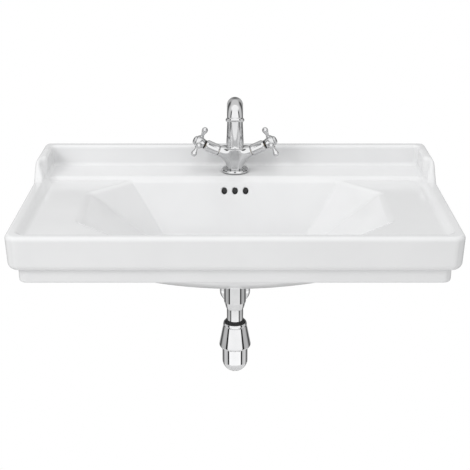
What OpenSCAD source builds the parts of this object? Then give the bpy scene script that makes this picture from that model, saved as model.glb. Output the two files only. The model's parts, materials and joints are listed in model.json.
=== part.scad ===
// Wall-hung washbasin with a two-handle tap, a push-button waste and a bottle trap.
// The wall is the plane Y = 0, the user stands on the -Y side, and +Z is up.
// The origin is midway between the two wall-bolt holes.

/* [Basin] */
// Overall width
basin_w = 800; // [760:10:840]
// Depth from the wall to the front face
basin_d = 450; // [445:5:470]
// Height of the rim above the wall bolts
rim_z = 45; // [40:1:50]
// Height of the back upstand and the side wings above the rim
upstand_h = 38; // [34:1:48]
// Thickness of the back upstand
upstand_t = 18; // [15:1:20]
// Height of the upper band of the front face
band_h = 65; // [60:1:70]
// Height of the recessed lower band below it
skirt_h = 28; // [24:1:32]
// Recess of the lower band
skirt_inset = 18; // [12:1:20]
// Width of the flat top of the side and front rims
rim_w = 20; // [16:1:24]
// Plan radius of the front corners
corner_r = 24; // [18:1:30]
// Distance from the wall at which a side wing starts to drop
wing_top_y = 92; // [85:1:100]
// Distance from the wall at which a side wing has met the rim
wing_end_y = 157; // [140:1:170]
// Depth of the tap ledge below the rim
ledge_drop = 4; // [2:1:6]
// Distance from the wall to the front edge of the tap ledge
ledge_y = 91; // [88:1:93]
// Depth of the side decks below the rim
deck_drop = 11; // [9:1:13]
// Thickness of the china
china_t = 13; // [11:1:14]

/* [Bowl] */
// Width of the bowl at the deck
bowl_w = 568; // [540:2:580]
// Length of the bowl at the deck, front to back
bowl_l = 309; // [300:1:312]
// Distance from the wall to the back edge of the bowl
bowl_back_y = 104; // [103:1:108]
// Cut of each corner of the bowl, along both sides
bowl_chamfer = 75; // [65:1:85]
// Depth of the bowl floor below the rim
floor_drop = 140; // [135:1:145]
// Depth of the underside of the china below the rim
under_drop = 166; // [162:1:170]
// Distance from the wall to the drain
drain_y = 240; // [238:1:245]
// Diameter of the drain hole
drain_d = 46; // [45:0.5:48]
// Diameter of each overflow hole
overflow_d = 12; // [10:0.5:13]
// Spacing of the overflow holes
overflow_pitch = 21.5; // [20:0.5:24]

/* [Fixings] */
// Spacing of the wall-bolt holes
bolt_pitch = 280; // [240:10:300]
// Diameter of the wall-bolt holes
bolt_hole_d = 18; // [14:1:20]
// Distance from the wall to the tap's axis
tap_y = 60; // [58:1:62]
// Diameter of the tap hole
tap_hole_d = 35; // [34:0.5:36]

/* [Tap] */
// Diameter of the base ring
base_d = 57; // [54:1:60]
// Diameter of the neck above the base ring
neck_d = 35.5; // [34:0.5:37]
// Height of the top of the body above the ledge
body_h = 50; // [49:0.5:52]
// Diameter of the foot of the spout
foot_d = 39; // [38:0.5:40]
// Diameter of the spout's tube
spout_d = 31; // [29:0.5:32]
// Reach of the spout from the tap's axis to the outlet
spout_reach = 100; // [90:1:115]
// Rise of the spout's run and tilt of its outlet
spout_tilt = 15; // [12:1:18]
// Height above the ledge at which the spout's run would cross the tap's axis
spout_knee_h = 138; // [134:1:144]
// Elevation of the valve arms
arm_tilt = 25; // [22:1:28]
// Height above the ledge at which the arms' axes meet
arm_h = 28; // [27:0.5:30]
// Diameter of the bonnets
bonnet_d = 22; // [21:0.5:23]
// Reach of a cross arm's ball from the spindle
cross_r = 28; // [26:0.5:30]

/* [Waste and trap] */
// Outside diameter of the tubes
tube_d = 32.4; // [32:0.1:33]
// Diameter of the tail nut below the basin
tail_d = 43.3; // [43:0.1:45]
// Largest diameter of the trap's bell
bell_d = 63; // [60:1:66]
// Diameter of the trap's cup
cup_d = 51; // [48:1:54]
// Depth of the outlet pipe's axis below the rim
outlet_drop = 298; // [296:1:300]
// Diameter of the wall rosette
rosette_d = 67; // [64:1:72]
// Length of the outlet pipe beyond the wall
pipe_past_wall = 40; // [20:5:60]

/* [Hidden] */
$fn = 64;
far = 1200;                              // longer than the object
eps = 0.5;                               // lets a cut run past the face it opens
ledge_z = rim_z - ledge_drop;
deck_z = rim_z - deck_drop;
band_z = rim_z - band_h;
skirt_z = band_z - skirt_h;
top_z = rim_z + upstand_h;
floor_z = rim_z - floor_drop;
under_z = rim_z - under_drop;
outlet_z = rim_z - outlet_drop;
strip = 7;                               // width of the sloping strip inside the rim
bowl_cy = -bowl_back_y - bowl_l / 2;
side_slope = 1.13;                       // run of the bowl's side walls for each mm of depth
back_slope = 0.35;
diag_slope = 0.69;
front_run = 140;                         // the front wall is a quarter ellipse this long
back_plate = 20;
ledge_t = 14;
duct_t = 10;                             // overflow duct, front to back
duct_w = 60;
duct_skin = 8;
bowl_depth = deck_z - floor_z;

// Tap, heights above the ledge
gasket_t = 1.5;
base_t = 5;
neck_z = gasket_t + base_t;
spigot_r = 14.9;                         // part of the body that sits in the tap hole
spigot_len = 8;
socket_r = 12;                           // socket of the swivelling spout
socket_len = 24;
run_fit = 0.05;                          // radial clearance of a running fit
spout_bore_r = 8;
bend_r = 34;                             // first bend of the spout
nose_r = 24;                             // second bend, down to the outlet
nose_len = 7;
key_l = 2;
foot_gap = 0.2;                          // running gap under the foot of the spout
foot_h = 2.8;
stem_len = 18;                           // part of the spout's stem that sits in the socket
stem_bond_r = 10;                        // part of the stem that is brazed into the foot
stem_bond_h = 8;
cord_r = 0.95;                           // O-rings of the stem
groove_h = 2.4;
groove_depth = 2;
low_seal = 15.1;                         // drops below the body's top
high_seal = 6.7;
lock_drop = 11.3;
lock_groove_h = 4.2;
lock_groove_r = 10.4;
lock_screw_r = 1.9;
aerator_len = 6;                         // length of the outlet inside the aerator's housing
aerator_thread_r = 13;
aerator_bore_r = 11;
inlet_x = 8.5;
inlet_y = -4;
inlet_r = 4.5;
inlet_len = 12;
stud_y = 10;
stud_r = 4;

// Valve, distances along the spindle from the tap's axis
seat_s = 19;
arm_s = 36;
bonnet_s = 66;
ring_s = 66.3;
hub_s = 69;
hub_mid_s = 80;
cap_s = 88;
tip_s = 94;
valve_r = 9;
spindle_r = 4;

// Waste and trap, heights in the row's frame
flange_r = 32;
waste_r = 20.9;
waste_bore_r = 18.4;
seal_t = 1.5;
backnut_t = 6;
backnut_r = 27;
tail_top_z = under_z - seal_t - backnut_t - 0.5;
tail_cone_z = rim_z - 214.4;
tail_end_z = rim_z - 229;
waste_end_z = rim_z - 202;
gland_top_z = rim_z - 254;
gland_end_z = rim_z - 259.5;
collar_end_z = rim_z - 266.5;
bell_wide_z = rim_z - 307;
bell_end_z = rim_z - 315;
cup_round_z = rim_z - 342;
tube_end_z = rim_z - 345;
wall_t = 2;                              // wall of the brass tubes and shells
bell_top_r = 23.6;
collar_bevel = 1.4;
free_r = 16;                             // standard 32 mm pipe end
pipe_in = 26;                            // from the drain's axis to the pipe's inner end
boss_r = 18;                             // outlet boss of the trap's body
boss_end = 33;
outlet_nut_r = 20.5;
hub_r = 11;
cap_r = 9.5;
disc_r = 7;
disc_t = 2.5;
horseshoe_r = 22;
tap_feed_r = 2.5;                        // drilled ways from the inlets to the valve seats

// ---- helpers ----

// Ring with a hole, standing on z = 0
module ring(r_out, r_in, h) {
    difference() {
        cylinder(r = r_out, h = h);
        translate([0, 0, -eps]) cylinder(r = r_in, h = h + 2 * eps);
    }
}

// Prism along X from an outline in Y and Z
module along_x(points, length = far) {
    rotate([90, 0, 90]) linear_extrude(height = length, center = true) polygon(points);
}

// Prism along Y from an outline in X and Z
module along_y(points, length = far) {
    rotate([90, 0, 0]) linear_extrude(height = length, center = true) polygon(points);
}

// Torus of revolution: a ring of round section
module o_ring(r_mid, r_cord) {
    rotate_extrude() translate([r_mid, 0]) circle(r = r_cord);
}

// ---- basin ----

// Plan outline, square against the wall and rounded at the front
module outline(inset) {
    w = basin_w / 2 - inset;
    front = inset - basin_d;
    translate([-w, front + corner_r]) square([2 * w, -front - corner_r]);
    translate([corner_r - w, front]) square([2 * (w - corner_r), -front]);
    for (side = [-1, 1])
        translate([side * (w - corner_r), front + corner_r]) circle(r = corner_r);
}

// Side view: level rim in front, an ogee up to the wings, level top to the wall
module side_view() {
    ogee = [for (t = [0:1/12:1])
        [-wing_end_y + t * (wing_end_y - wing_top_y), rim_z + upstand_h * (1 - cos(180 * t)) / 2]];
    along_x(concat([[0, skirt_z], [-basin_d, skirt_z], [-basin_d, rim_z]], ogee, [[0, top_z]]));
}

// Recess for the tap ledge and the decks, with sloping strips round the decks
module tray() {
    in_w = basin_w / 2 - rim_w;
    in_front = rim_w - basin_d;
    intersection() {
        along_y([[-in_w, top_z + eps], [-in_w, rim_z], [strip - in_w, deck_z],
                 [in_w - strip, deck_z], [in_w, rim_z], [in_w, top_z + eps]]);
        along_x([[-upstand_t, top_z + eps], [-upstand_t, ledge_z], [-ledge_y, ledge_z],
                 [-ledge_y - strip, deck_z], [in_front + strip, deck_z],
                 [in_front, rim_z], [in_front, top_z + eps]]);
    }
}

// Bowl grown by a wall of thickness grow, from its top down to its bottom
module bowl(grow, top, bottom, run) {
    depth = deck_z - bottom;
    side_top = bowl_w / 2 + side_slope * (top - deck_z) + grow * norm([1, side_slope]);
    side_end = bowl_w / 2 - side_slope * depth + grow * norm([1, side_slope]);
    back_top = -bowl_back_y + back_slope * (top - deck_z) + grow * norm([1, back_slope]);
    back_end = -bowl_back_y - back_slope * depth + grow * norm([1, back_slope]);
    front = -bowl_back_y - bowl_l - grow;
    arc = [for (a = [0:15:90]) [front + run * (1 - cos(a)), deck_z - depth * sin(a)]];
    corner = (bowl_w / 2 + bowl_l / 2 - bowl_chamfer) / sqrt(2);
    diag_top = corner + diag_slope * (top - deck_z) + grow * norm([1, diag_slope]);
    diag_end = corner - diag_slope * depth + grow * norm([1, diag_slope]);
    intersection() {
        along_y([[-side_top, top], [side_top, top], [side_end, bottom], [-side_end, bottom]]);
        along_x(concat([[back_top, top], [front, top]], arc, [[back_end, bottom]]));
        for_diagonals(diag_top, diag_end, top, bottom);
    }
}

// The two crossed wedges that cut the bowl's corners
module for_diagonals(half_top, half_end, top, bottom) {
    intersection_for(a = [45, -45])
        translate([0, bowl_cy, 0]) rotate([0, 0, a])
            along_y([[-half_top, top], [half_top, top], [half_end, bottom], [-half_end, bottom]]);
}

// Duct behind and below the bowl, between two distances from the bowl's inside face
module duct(near, away, top, width) {
    n = norm([1, back_slope]);
    y_top = -bowl_back_y - back_slope * (deck_z - top);
    y_end = -bowl_back_y - back_slope * bowl_depth;
    along_x([
        [y_top + near * n, top], [y_top + away * n, top],
        [y_end + (n - back_slope) * away, floor_z - away], [-drain_y, floor_z - away],
        [-drain_y, floor_z - near], [y_end + (n - back_slope) * near, floor_z - near]], width);
}

module basin() {
    color("white")
    difference() {
        union() {
            difference() {
                intersection() {
                    union() {
                        translate([0, 0, band_z]) linear_extrude(height = top_z - band_z) outline(0);
                        translate([0, 0, skirt_z]) linear_extrude(height = skirt_h) outline(skirt_inset);
                    }
                    side_view();
                }
                underside();
            }
            bowl(china_t, deck_z - china_t + eps, under_z, front_run + 35);
            duct(1, duct_t + 2 * duct_skin, deck_z - 10, duct_w + 2 * duct_skin);
            translate([0, -drain_y, under_z]) cylinder(r = flange_r + 4, h = floor_z - under_z);
        }
        tray();
        bowl(0, deck_z + eps, floor_z, front_run);
        duct(duct_skin, duct_skin + duct_t, deck_z - 14, duct_w);
        overflow_holes();
        translate([0, -drain_y, under_z - eps]) cylinder(d = drain_d, h = 60);
        translate([0, -tap_y, ledge_z - 30]) cylinder(d = tap_hole_d, h = 40);
        for (side = [-1, 1])
            translate([side * bolt_pitch / 2, -back_plate - eps, 0]) rotate([-90, 0, 0])
                cylinder(d = bolt_hole_d, h = back_plate + 2 * eps);
    }
}

// Open space under the decks, around the bowl
module underside() {
    w = basin_w / 2 - skirt_inset - china_t;
    front = skirt_inset + china_t - basin_d;
    translate([-w, front, skirt_z - eps])
        cube([2 * w, -front - back_plate, deck_z - china_t - skirt_z + eps]);
    translate([-w, -ledge_y + 2, skirt_z])
        cube([2 * w, ledge_y - back_plate - 2, ledge_z - ledge_t - skirt_z]);
}

// Row of holes from the bowl into the overflow duct
module overflow_holes() {
    z = rim_z - 32;
    y = -bowl_back_y - back_slope * (deck_z - z);
    for (i = [-1:1])
        translate([i * overflow_pitch, y - 6, z]) rotate([-90 + atan(back_slope), 0, 0])
            cylinder(d = overflow_d, h = 20);
}

// ---- tap ----

// Places children at the tap's axis on the ledge, +Z up
module at_tap() {
    translate([0, -tap_y, ledge_z]) children();
}

// Places children on a valve's axis: local +Z runs outwards along the spindle
module on_valve(side) {
    at_tap() translate([0, 0, arm_h]) rotate([0, side * (90 - arm_tilt), 0]) children();
}

module tap_body() {
    color("gainsboro")
    difference() {
        union() {
            at_tap() {
                translate([0, 0, neck_z - spigot_len - gasket_t]) cylinder(r = spigot_r, h = 12);
                translate([0, 0, neck_z]) cylinder(d = neck_d, h = 10);
                translate([0, 0, neck_z + 10])
                    cylinder(d1 = neck_d, d2 = foot_d, h = body_h - neck_z - 10);
            }
            for (side = [-1, 1])
                on_valve(side) {
                    cylinder(r1 = 19, r2 = bonnet_d / 2, h = arm_s - 2);
                    cylinder(d = bonnet_d, h = arm_s);
                }
        }
        at_tap() {
            translate([0, 0, body_h]) cylinder(d = foot_d + 1, h = 30);
            translate([0, 0, body_h - socket_len]) cylinder(r = socket_r, h = socket_len + eps);
            translate([0, stud_y, -20]) cylinder(r = stud_r, h = 36);
            for (side = [-1, 1]) {
                translate([side * inlet_x, inlet_y, -20]) cylinder(r = inlet_r, h = 20 + inlet_len - 9);
                translate([side * inlet_x, inlet_y, 0]) cylinder(r = tap_feed_r, h = 16);
                translate([side * inlet_x, inlet_y, 14.5]) rotate([0, side * 40, 0])
                    cylinder(r = tap_feed_r, h = 20);
            }
            translate([0, body_h / 2, body_h - lock_drop]) rotate([90, 0, 0])
                cylinder(r = lock_screw_r + 0.1, h = body_h / 2);
        }
        for (side = [-1, 1])
            on_valve(side) {
                translate([0, 0, seat_s]) cylinder(r = valve_r, h = 40);
                translate([0, 5, 11]) cylinder(r = 2.2, h = seat_s - 11 + eps);
            }
    }
}

module tap_base_ring() {
    color("gainsboro")
    at_tap() translate([0, 0, gasket_t]) {
        difference() {
            union() {
                cylinder(d = base_d, h = base_t - 1.5);
                translate([0, 0, base_t - 1.5]) cylinder(d1 = base_d, d2 = base_d - 5, h = 1.5);
            }
            translate([0, 0, -eps]) cylinder(r = spigot_r, h = base_t + 2 * eps);
        }
    }
}

module tap_base_gasket() {
    color("dimgray") at_tap() ring(base_d / 2 - 2, spigot_r, gasket_t);
}

module tap_mounting_stud() {
    color("silver") at_tap() translate([0, stud_y, -52]) cylinder(r = stud_r, h = 64);
}

// C-shaped plate round the stud that leaves the inlets free
module horseshoe(r_out, t) {
    difference() {
        cylinder(r = r_out, h = t);
        translate([-15, -30, -eps]) cube([30, 33.5, t + 2 * eps]);
        translate([0, stud_y, -eps]) cylinder(r = stud_r, h = t + 2 * eps);
    }
}

module tap_horseshoe_gasket() {
    color("dimgray") at_tap() translate([0, 0, -ledge_t - 3]) horseshoe(horseshoe_r, 3);
}

module tap_horseshoe_washer() {
    color("silver") at_tap() translate([0, 0, -ledge_t - 5]) horseshoe(horseshoe_r, 2);
}

module tap_mounting_nut() {
    color("goldenrod") at_tap() translate([0, stud_y, -ledge_t - 17]) difference() {
        cylinder(d = 15, h = 12, $fn = 6);
        translate([0, 0, -eps]) cylinder(r = stud_r, h = 13);
    }
}

// ---- spout ----

// Sweeps a round section along the spout from the top of its straight column to the outlet
module spout_sweep(r, more = 0) {
    rise = 90 - spout_tilt;
    knee = bend_r * tan(rise / 2);
    run = (spout_reach - (nose_r + nose_len) * sin(spout_tilt)) / cos(spout_tilt) - knee - nose_r;
    translate([0, 0, spout_knee_h - knee])
        arc_up(rise, bend_r, r)
            straight(run, r)
                arc_up(90, nose_r, r)
                    straight(nose_len + more, r);
}

// Short core that ties two lengths of the sweep together
module key(r) {
    translate([0, 0, -key_l]) cylinder(r = r - 3, h = 2 * key_l);
}

// Bends from straight up towards -Y, then carries on with the children
module arc_up(angle, radius, r) {
    key(r);
    translate([0, -radius, 0]) rotate([90, 0, 90]) rotate_extrude(angle = angle)
        translate([radius, 0]) circle(r = r);
    translate([0, -radius, 0]) rotate([angle, 0, 0]) translate([0, radius, 0]) children();
}

module straight(length, r) {
    key(r);
    cylinder(r = r, h = length);
    translate([0, 0, length]) children();
}

// Places children at the outlet, local +Z out of the spout
module at_outlet() {
    run = (spout_reach - (nose_r + nose_len) * sin(spout_tilt)) / cos(spout_tilt);
    at_tap() translate([0, 0, spout_knee_h])
        rotate([90 - spout_tilt, 0, 0]) translate([0, 0, run]) rotate([90, 0, 0])
            translate([0, 0, nose_r + nose_len]) children();
}

module spout() {
    column_top = spout_knee_h - bend_r * tan((90 - spout_tilt) / 2);
    foot_top = body_h + foot_gap + foot_h;
    color("gainsboro")
    difference() {
        at_tap() {
            translate([0, 0, body_h + foot_gap]) cylinder(d = foot_d, h = foot_h);
            translate([0, 0, foot_top])
                cylinder(d1 = foot_d - 1.5, d2 = spout_d, h = column_top - foot_top);
            spout_sweep(spout_d / 2);
        }
        at_tap() {
            translate([0, 0, body_h]) cylinder(r = spout_bore_r, h = column_top - body_h);
            translate([0, 0, body_h]) cylinder(r = stem_bond_r, h = stem_bond_h);
            spout_sweep(spout_bore_r, 1);
        }
        at_outlet() translate([0, 0, -aerator_len]) difference() {
            cylinder(r = spout_d, h = aerator_len + 4);
            translate([0, 0, -eps]) cylinder(r = aerator_thread_r, h = aerator_len + 6);
        }
    }
}

// Brass stem brazed into the foot of the spout, turning in the body's socket
module spout_stem() {
    stem_r = socket_r - run_fit;
    color("goldenrod") at_tap() difference() {
        union() {
            translate([0, 0, body_h - stem_len]) cylinder(r = stem_r, h = stem_len + foot_gap);
            translate([0, 0, body_h]) cylinder(r = stem_bond_r, h = stem_bond_h);
        }
        translate([0, 0, body_h - stem_len - eps])
            cylinder(r = spout_bore_r, h = stem_len + stem_bond_h + 2 * eps);
        for (drop = [low_seal, high_seal])
            translate([0, 0, body_h - drop - groove_h / 2])
                ring(socket_r + 1, stem_r - groove_depth, groove_h);
        translate([0, 0, body_h - lock_drop - lock_groove_h / 2])
            ring(socket_r + 1, lock_groove_r, lock_groove_h);
    }
}

module spout_seal_rings() {
    color("black") at_tap()
        for (drop = [low_seal, high_seal])
            translate([0, 0, body_h - drop]) o_ring(socket_r - cord_r - 0.08, cord_r);
}

module spout_retaining_screw() {
    color("silver") at_tap() translate([0, foot_d / 2 - 1.5, body_h - lock_drop]) rotate([90, 0, 0])
        cylinder(r = lock_screw_r, h = foot_d / 2 - 1.9 - lock_groove_r);
}

module aerator_housing() {
    color("gainsboro") at_outlet() translate([0, 0, -aerator_len]) difference() {
        union() {
            cylinder(d1 = spout_d + 1, d2 = spout_d + 5, h = 2);
            translate([0, 0, 2]) cylinder(d = spout_d + 5, h = 3.5);
            translate([0, 0, 5.5]) cylinder(d1 = spout_d + 5, d2 = spout_d + 2, h = 2.5);
        }
        translate([0, 0, -eps]) cylinder(r = aerator_thread_r, h = aerator_len + 1);
        translate([0, 0, aerator_len - 1]) cylinder(r = aerator_bore_r, h = 8);
    }
}

module aerator_gasket() {
    color("dimgray") at_outlet() ring(aerator_thread_r - 0.5, 9, 0.5);
}

// Perforated disc with three rings of holes
module aerator_insert() {
    hole_pitch = 2.9;
    color("whitesmoke") at_outlet() translate([0, 0, eps]) difference() {
        cylinder(r = aerator_bore_r - 0.2, h = 1.6);
        for (ring_n = [1:3])
            for (i = [0 : ring_n * 6 - 1])
                rotate([0, 0, i * 60 / ring_n]) translate([ring_n * hole_pitch, 0, -eps])
                    cylinder(r = 0.9, h = 3);
    }
}

// ---- valves, side = 1 on the user's right and -1 on the left ----

module bonnet(side) {
    color("gainsboro") on_valve(side) difference() {
        union() {
            translate([0, 0, arm_s]) cylinder(d1 = bonnet_d - 1, d2 = bonnet_d + 1, h = 1.5);
            translate([0, 0, arm_s + 1.5]) cylinder(d = bonnet_d + 1, h = bonnet_s - arm_s - 4);
            translate([0, 0, bonnet_s - 2.5]) cylinder(d1 = bonnet_d + 1, d2 = bonnet_d - 3, h = 2.5);
        }
        translate([0, 0, arm_s - eps]) cylinder(r = 8, h = bonnet_s - arm_s - 5.5);
        translate([0, 0, arm_s]) cylinder(r = spindle_r + 0.3, h = 40);
    }
}

module cartridge(side) {
    color("goldenrod") on_valve(side) difference() {
        union() {
            translate([0, 0, seat_s]) cylinder(r = valve_r, h = arm_s - seat_s);
            translate([0, 0, arm_s]) cylinder(r = 8, h = 20);
        }
        translate([0, 0, seat_s + 2]) cylinder(r = 7, h = 10);
        translate([0, 0, seat_s - eps]) cylinder(r = 4, h = 4);
        translate([0, 0, seat_s]) cylinder(r = spindle_r + run_fit, h = 50);
        translate([0, 0, seat_s + 7]) rotate([90, 0, 0]) cylinder(r = 2.5, h = 30, center = true);
    }
}

// Ceramic disc with two sector ports
module ceramic_disc(z, r) {
    translate([0, 0, z]) difference() {
        cylinder(r = r, h = disc_t);
        for (x = [-1, 1]) translate([x * 3.6, 0, -eps]) cylinder(r = 1.8, h = 4);
    }
}

module fixed_disc(side) {
    color("white") on_valve(side) ceramic_disc(seat_s + 2, disc_r);
}

module turning_disc(side) {
    color("white") on_valve(side) ceramic_disc(seat_s + 2 + disc_t + run_fit, disc_r - run_fit);
}

module spindle(side) {
    color("goldenrod") on_valve(side) {
        translate([0, 0, seat_s + 7.05]) cylinder(r = 6.95, h = 4.5);
        translate([0, 0, seat_s + 7.05]) cylinder(r = spindle_r, h = cap_s - 8 - seat_s - 7.05);
    }
}

module spindle_ring(side) {
    color("black") on_valve(side) translate([0, 0, ring_s]) ring(9, spindle_r, hub_s - ring_s);
}

module cross_handle(side) {
    color("gainsboro") on_valve(side) difference() {
        union() {
            translate([0, 0, hub_s]) cylinder(r1 = hub_r - 2, r2 = hub_r, h = 4);
            translate([0, 0, hub_s + 4]) cylinder(r = hub_r, h = cap_s - hub_s - 6);
            translate([0, 0, cap_s - 2]) cylinder(r1 = hub_r, r2 = hub_r - 1, h = 2);
            for (a = [0:90:270])
                translate([0, 0, hub_mid_s]) rotate([0, 90, a]) {
                    translate([0, 0, 8]) cylinder(r1 = 4.2, r2 = 2.9, h = 6);
                    translate([0, 0, 14]) cylinder(r1 = 2.9, r2 = 4.6, h = cross_r - 16);
                    translate([0, 0, cross_r]) sphere(r = 5.6);
                }
        }
        translate([0, 0, hub_s - eps]) cylinder(r = spindle_r, h = 11 + eps);
        translate([0, 0, hub_s]) cylinder(r = 2.2, h = 30);
        translate([0, 0, cap_s - 3]) cylinder(r = 6, h = 10);
    }
}

module handle_screw(side) {
    color("silver") on_valve(side) {
        translate([0, 0, cap_s - 8]) cylinder(r = 2.2, h = 6);
        translate([0, 0, cap_s - 3]) cylinder(r = 4, h = 2);
    }
}

module index_cap(side) {
    color("gainsboro") on_valve(side) intersection() {
        translate([0, 0, cap_s]) union() {
            cylinder(r = cap_r, h = 1.5);
            translate([0, 0, tip_s - cap_s - 12]) sphere(r = 12);
            translate([0, 0, -1]) cylinder(r = 6, h = 3);
        }
        translate([0, 0, cap_s - 1]) cylinder(r = cap_r, h = 20);
        union() {
            translate([0, 0, cap_s]) cylinder(r = cap_r, h = 20);
            translate([0, 0, cap_s - 1]) cylinder(r = 6, h = 2);
        }
    }
}

// ---- waste ----

// Places children on the drain's axis at the bowl floor
module at_drain() {
    translate([0, -drain_y, floor_z]) children();
}

module waste_flange_gasket() {
    color("dimgray") at_drain() ring(flange_r - 2, drain_d / 2, 1);
}

module waste_body() {
    color("gainsboro") at_drain() difference() {
        union() {
            translate([0, 0, 1]) cylinder(r1 = flange_r, r2 = flange_r - 2.5, h = 2.5);
            translate([0, 0, waste_end_z - floor_z])
                cylinder(r = waste_r, h = floor_z - waste_end_z + 1.5);
        }
        translate([0, 0, waste_end_z - floor_z - eps]) cylinder(r = waste_bore_r, h = 100);
        translate([0, 0, 2]) cylinder(r1 = waste_bore_r, r2 = 26, h = 3);
        for (a = [45:90:315])
            rotate([0, 0, a]) translate([0, 0, -duct_skin - duct_t / 2]) rotate([0, 90, 0])
                cylinder(r = 4, h = 30);
    }
}

module waste_under_gasket() {
    color("dimgray") translate([0, -drain_y, under_z - seal_t]) ring(backnut_r - 1, waste_r, seal_t);
}

module waste_backnut() {
    color("goldenrod") translate([0, -drain_y, under_z - seal_t - backnut_t]) difference() {
        cylinder(r = backnut_r, h = backnut_t, $fn = 6);
        translate([0, 0, -eps]) cylinder(r = waste_r, h = backnut_t + 1);
    }
}

module waste_plug() {
    color("gainsboro") at_drain() {
        translate([0, 0, 4.3]) cylinder(r1 = 27, r2 = 28, h = 1.2);
        translate([0, 0, 5.5]) cylinder(r1 = 28, r2 = 24, h = 2);
        translate([0, 0, -9]) cylinder(r = 5, h = 13.5);
    }
}

module waste_plug_seal() {
    color("black") at_drain() translate([0, 0, 3.9]) ring(22, 5, 0.4);
}

// Push-push latch held by four ribs in the waste's bore
module waste_plug_latch() {
    color("whitesmoke") at_drain() difference() {
        union() {
            translate([0, 0, -34]) cylinder(r = 8, h = 26);
            for (a = [0, 90])
                rotate([0, 0, a]) translate([-waste_bore_r, -1.5, -30]) cube([2 * waste_bore_r, 3, 12]);
        }
        translate([0, 0, -30]) cylinder(r = 5 + run_fit, h = 40);
    }
}

module tail_nut() {
    color("gainsboro") translate([0, -drain_y, 0]) difference() {
        union() {
            translate([0, 0, tail_cone_z]) cylinder(d = tail_d, h = tail_top_z - tail_cone_z);
            translate([0, 0, tail_end_z + 2])
                cylinder(r1 = tube_d / 2 + 2, d2 = tail_d, h = tail_cone_z - tail_end_z - 2);
            translate([0, 0, tail_end_z]) cylinder(r1 = tube_d / 2 + 1, r2 = tube_d / 2 + 2, h = 2);
        }
        translate([0, 0, waste_end_z - 6]) cylinder(r = waste_r, h = 60);
        translate([0, 0, tail_end_z - eps]) cylinder(d = tube_d, h = 60);
    }
}

module tail_washer() {
    color("dimgray") translate([0, -drain_y, waste_end_z - 6]) ring(waste_r, tube_d / 2, 5.5);
}

module trap_inlet_tube() {
    color("gainsboro") translate([0, -drain_y, tube_end_z])
        ring(tube_d / 2, tube_d / 2 - 1.2, waste_end_z - tube_end_z - 1);
}

module trap_inlet_gland() {
    color("black") translate([0, -drain_y, gland_end_z]) difference() {
        cylinder(r1 = bell_top_r - collar_bevel, r2 = tube_d / 2 + 1, h = gland_top_z - gland_end_z);
        translate([0, 0, -eps]) cylinder(d = tube_d, h = 30);
    }
}

module trap_collar_nut() {
    half_h = (gland_end_z - collar_end_z) / 2;
    color("gainsboro") translate([0, -drain_y, collar_end_z]) difference() {
        union() {
            cylinder(r = bell_top_r, h = half_h);
            translate([0, 0, half_h]) cylinder(r1 = bell_top_r, r2 = bell_top_r - collar_bevel, h = half_h);
        }
        translate([0, 0, -eps]) cylinder(d = tube_d, h = 30);
    }
}

// Silhouette of the bell, from the collar to its rounded lower edge
function bell_side(shrink) = concat(
    [[bell_top_r - shrink, collar_end_z], [bell_d / 2 - 0.8 - shrink, bell_wide_z + 4]],
    [for (a = [0:15:90]) [bell_d / 2 - 5 - shrink + 5 * cos(a), bell_wide_z - 6 * sin(a)]],
    [[cup_d / 2 + 0.6 - shrink / 4, bell_end_z]]);

module trap_body() {
    color("gainsboro") translate([0, -drain_y, 0]) difference() {
        union() {
            rotate_extrude() polygon(concat([[0, collar_end_z]], bell_side(0), [[0, bell_end_z]]));
            translate([0, 0, outlet_z]) rotate([-90, 0, 0]) cylinder(r = boss_r, h = boss_end);
        }
        rotate_extrude() polygon(concat([[0, collar_end_z - wall_t]],
            [[bell_top_r - wall_t, collar_end_z - wall_t], [bell_d / 2 - 3.5, bell_wide_z + 4],
             [bell_d / 2 - 4, bell_wide_z - 2], [cup_d / 2 + run_fit, bell_wide_z - 4],
             [cup_d / 2 + run_fit, bell_end_z - 1], [0, bell_end_z - 1]]));
        translate([0, 0, collar_end_z - 5]) cylinder(d = tube_d, h = 10);
        translate([0, 20, outlet_z]) rotate([-90, 0, 0]) cylinder(d = tube_d, h = 20);
    }
}

module trap_cup() {
    r = cup_d / 2;
    color("gainsboro") translate([0, -drain_y, 0]) difference() {
        union() {
            translate([0, 0, cup_round_z]) cylinder(r = r, h = bell_wide_z - 6 - cup_round_z);
            translate([0, 0, cup_round_z]) intersection() {
                sphere(r = r);
                translate([0, 0, -r]) cylinder(r = r, h = r);
            }
        }
        translate([0, 0, cup_round_z]) cylinder(r = r - wall_t, h = 60);
        translate([0, 0, cup_round_z]) sphere(r = r - wall_t);
    }
}

module trap_cup_seal() {
    color("black") translate([0, -drain_y, bell_wide_z - 6]) ring(cup_d / 2, cup_d / 2 - 3, 1.8);
}

module outlet_nut() {
    color("gainsboro") translate([0, boss_end - drain_y, outlet_z]) rotate([-90, 0, 0]) {
        difference() {
            union() {
                cylinder(r = outlet_nut_r, h = 12);
                translate([0, 0, 12]) cylinder(r1 = outlet_nut_r, r2 = boss_r, h = 3);
            }
            translate([0, 0, -eps]) cylinder(r = boss_r + 0.2, h = 4);
            translate([0, 0, -eps]) cylinder(d = tube_d, h = 30);
        }
    }
}

module outlet_seal() {
    color("dimgray") translate([0, boss_end - drain_y, outlet_z]) rotate([-90, 0, 0])
        ring(boss_r + 0.2, tube_d / 2, 3);
}

module outlet_pipe() {
    bore = tube_d / 2 - 1.2;
    color("gainsboro") translate([0, 0, outlet_z]) rotate([-90, 0, 0]) difference() {
        union() {
            translate([0, 0, pipe_in - drain_y]) cylinder(d = tube_d, h = drain_y - pipe_in);
            cylinder(r = free_r, h = pipe_past_wall);
        }
        translate([0, 0, -far / 2]) cylinder(r = bore, h = far);
    }
}

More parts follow.
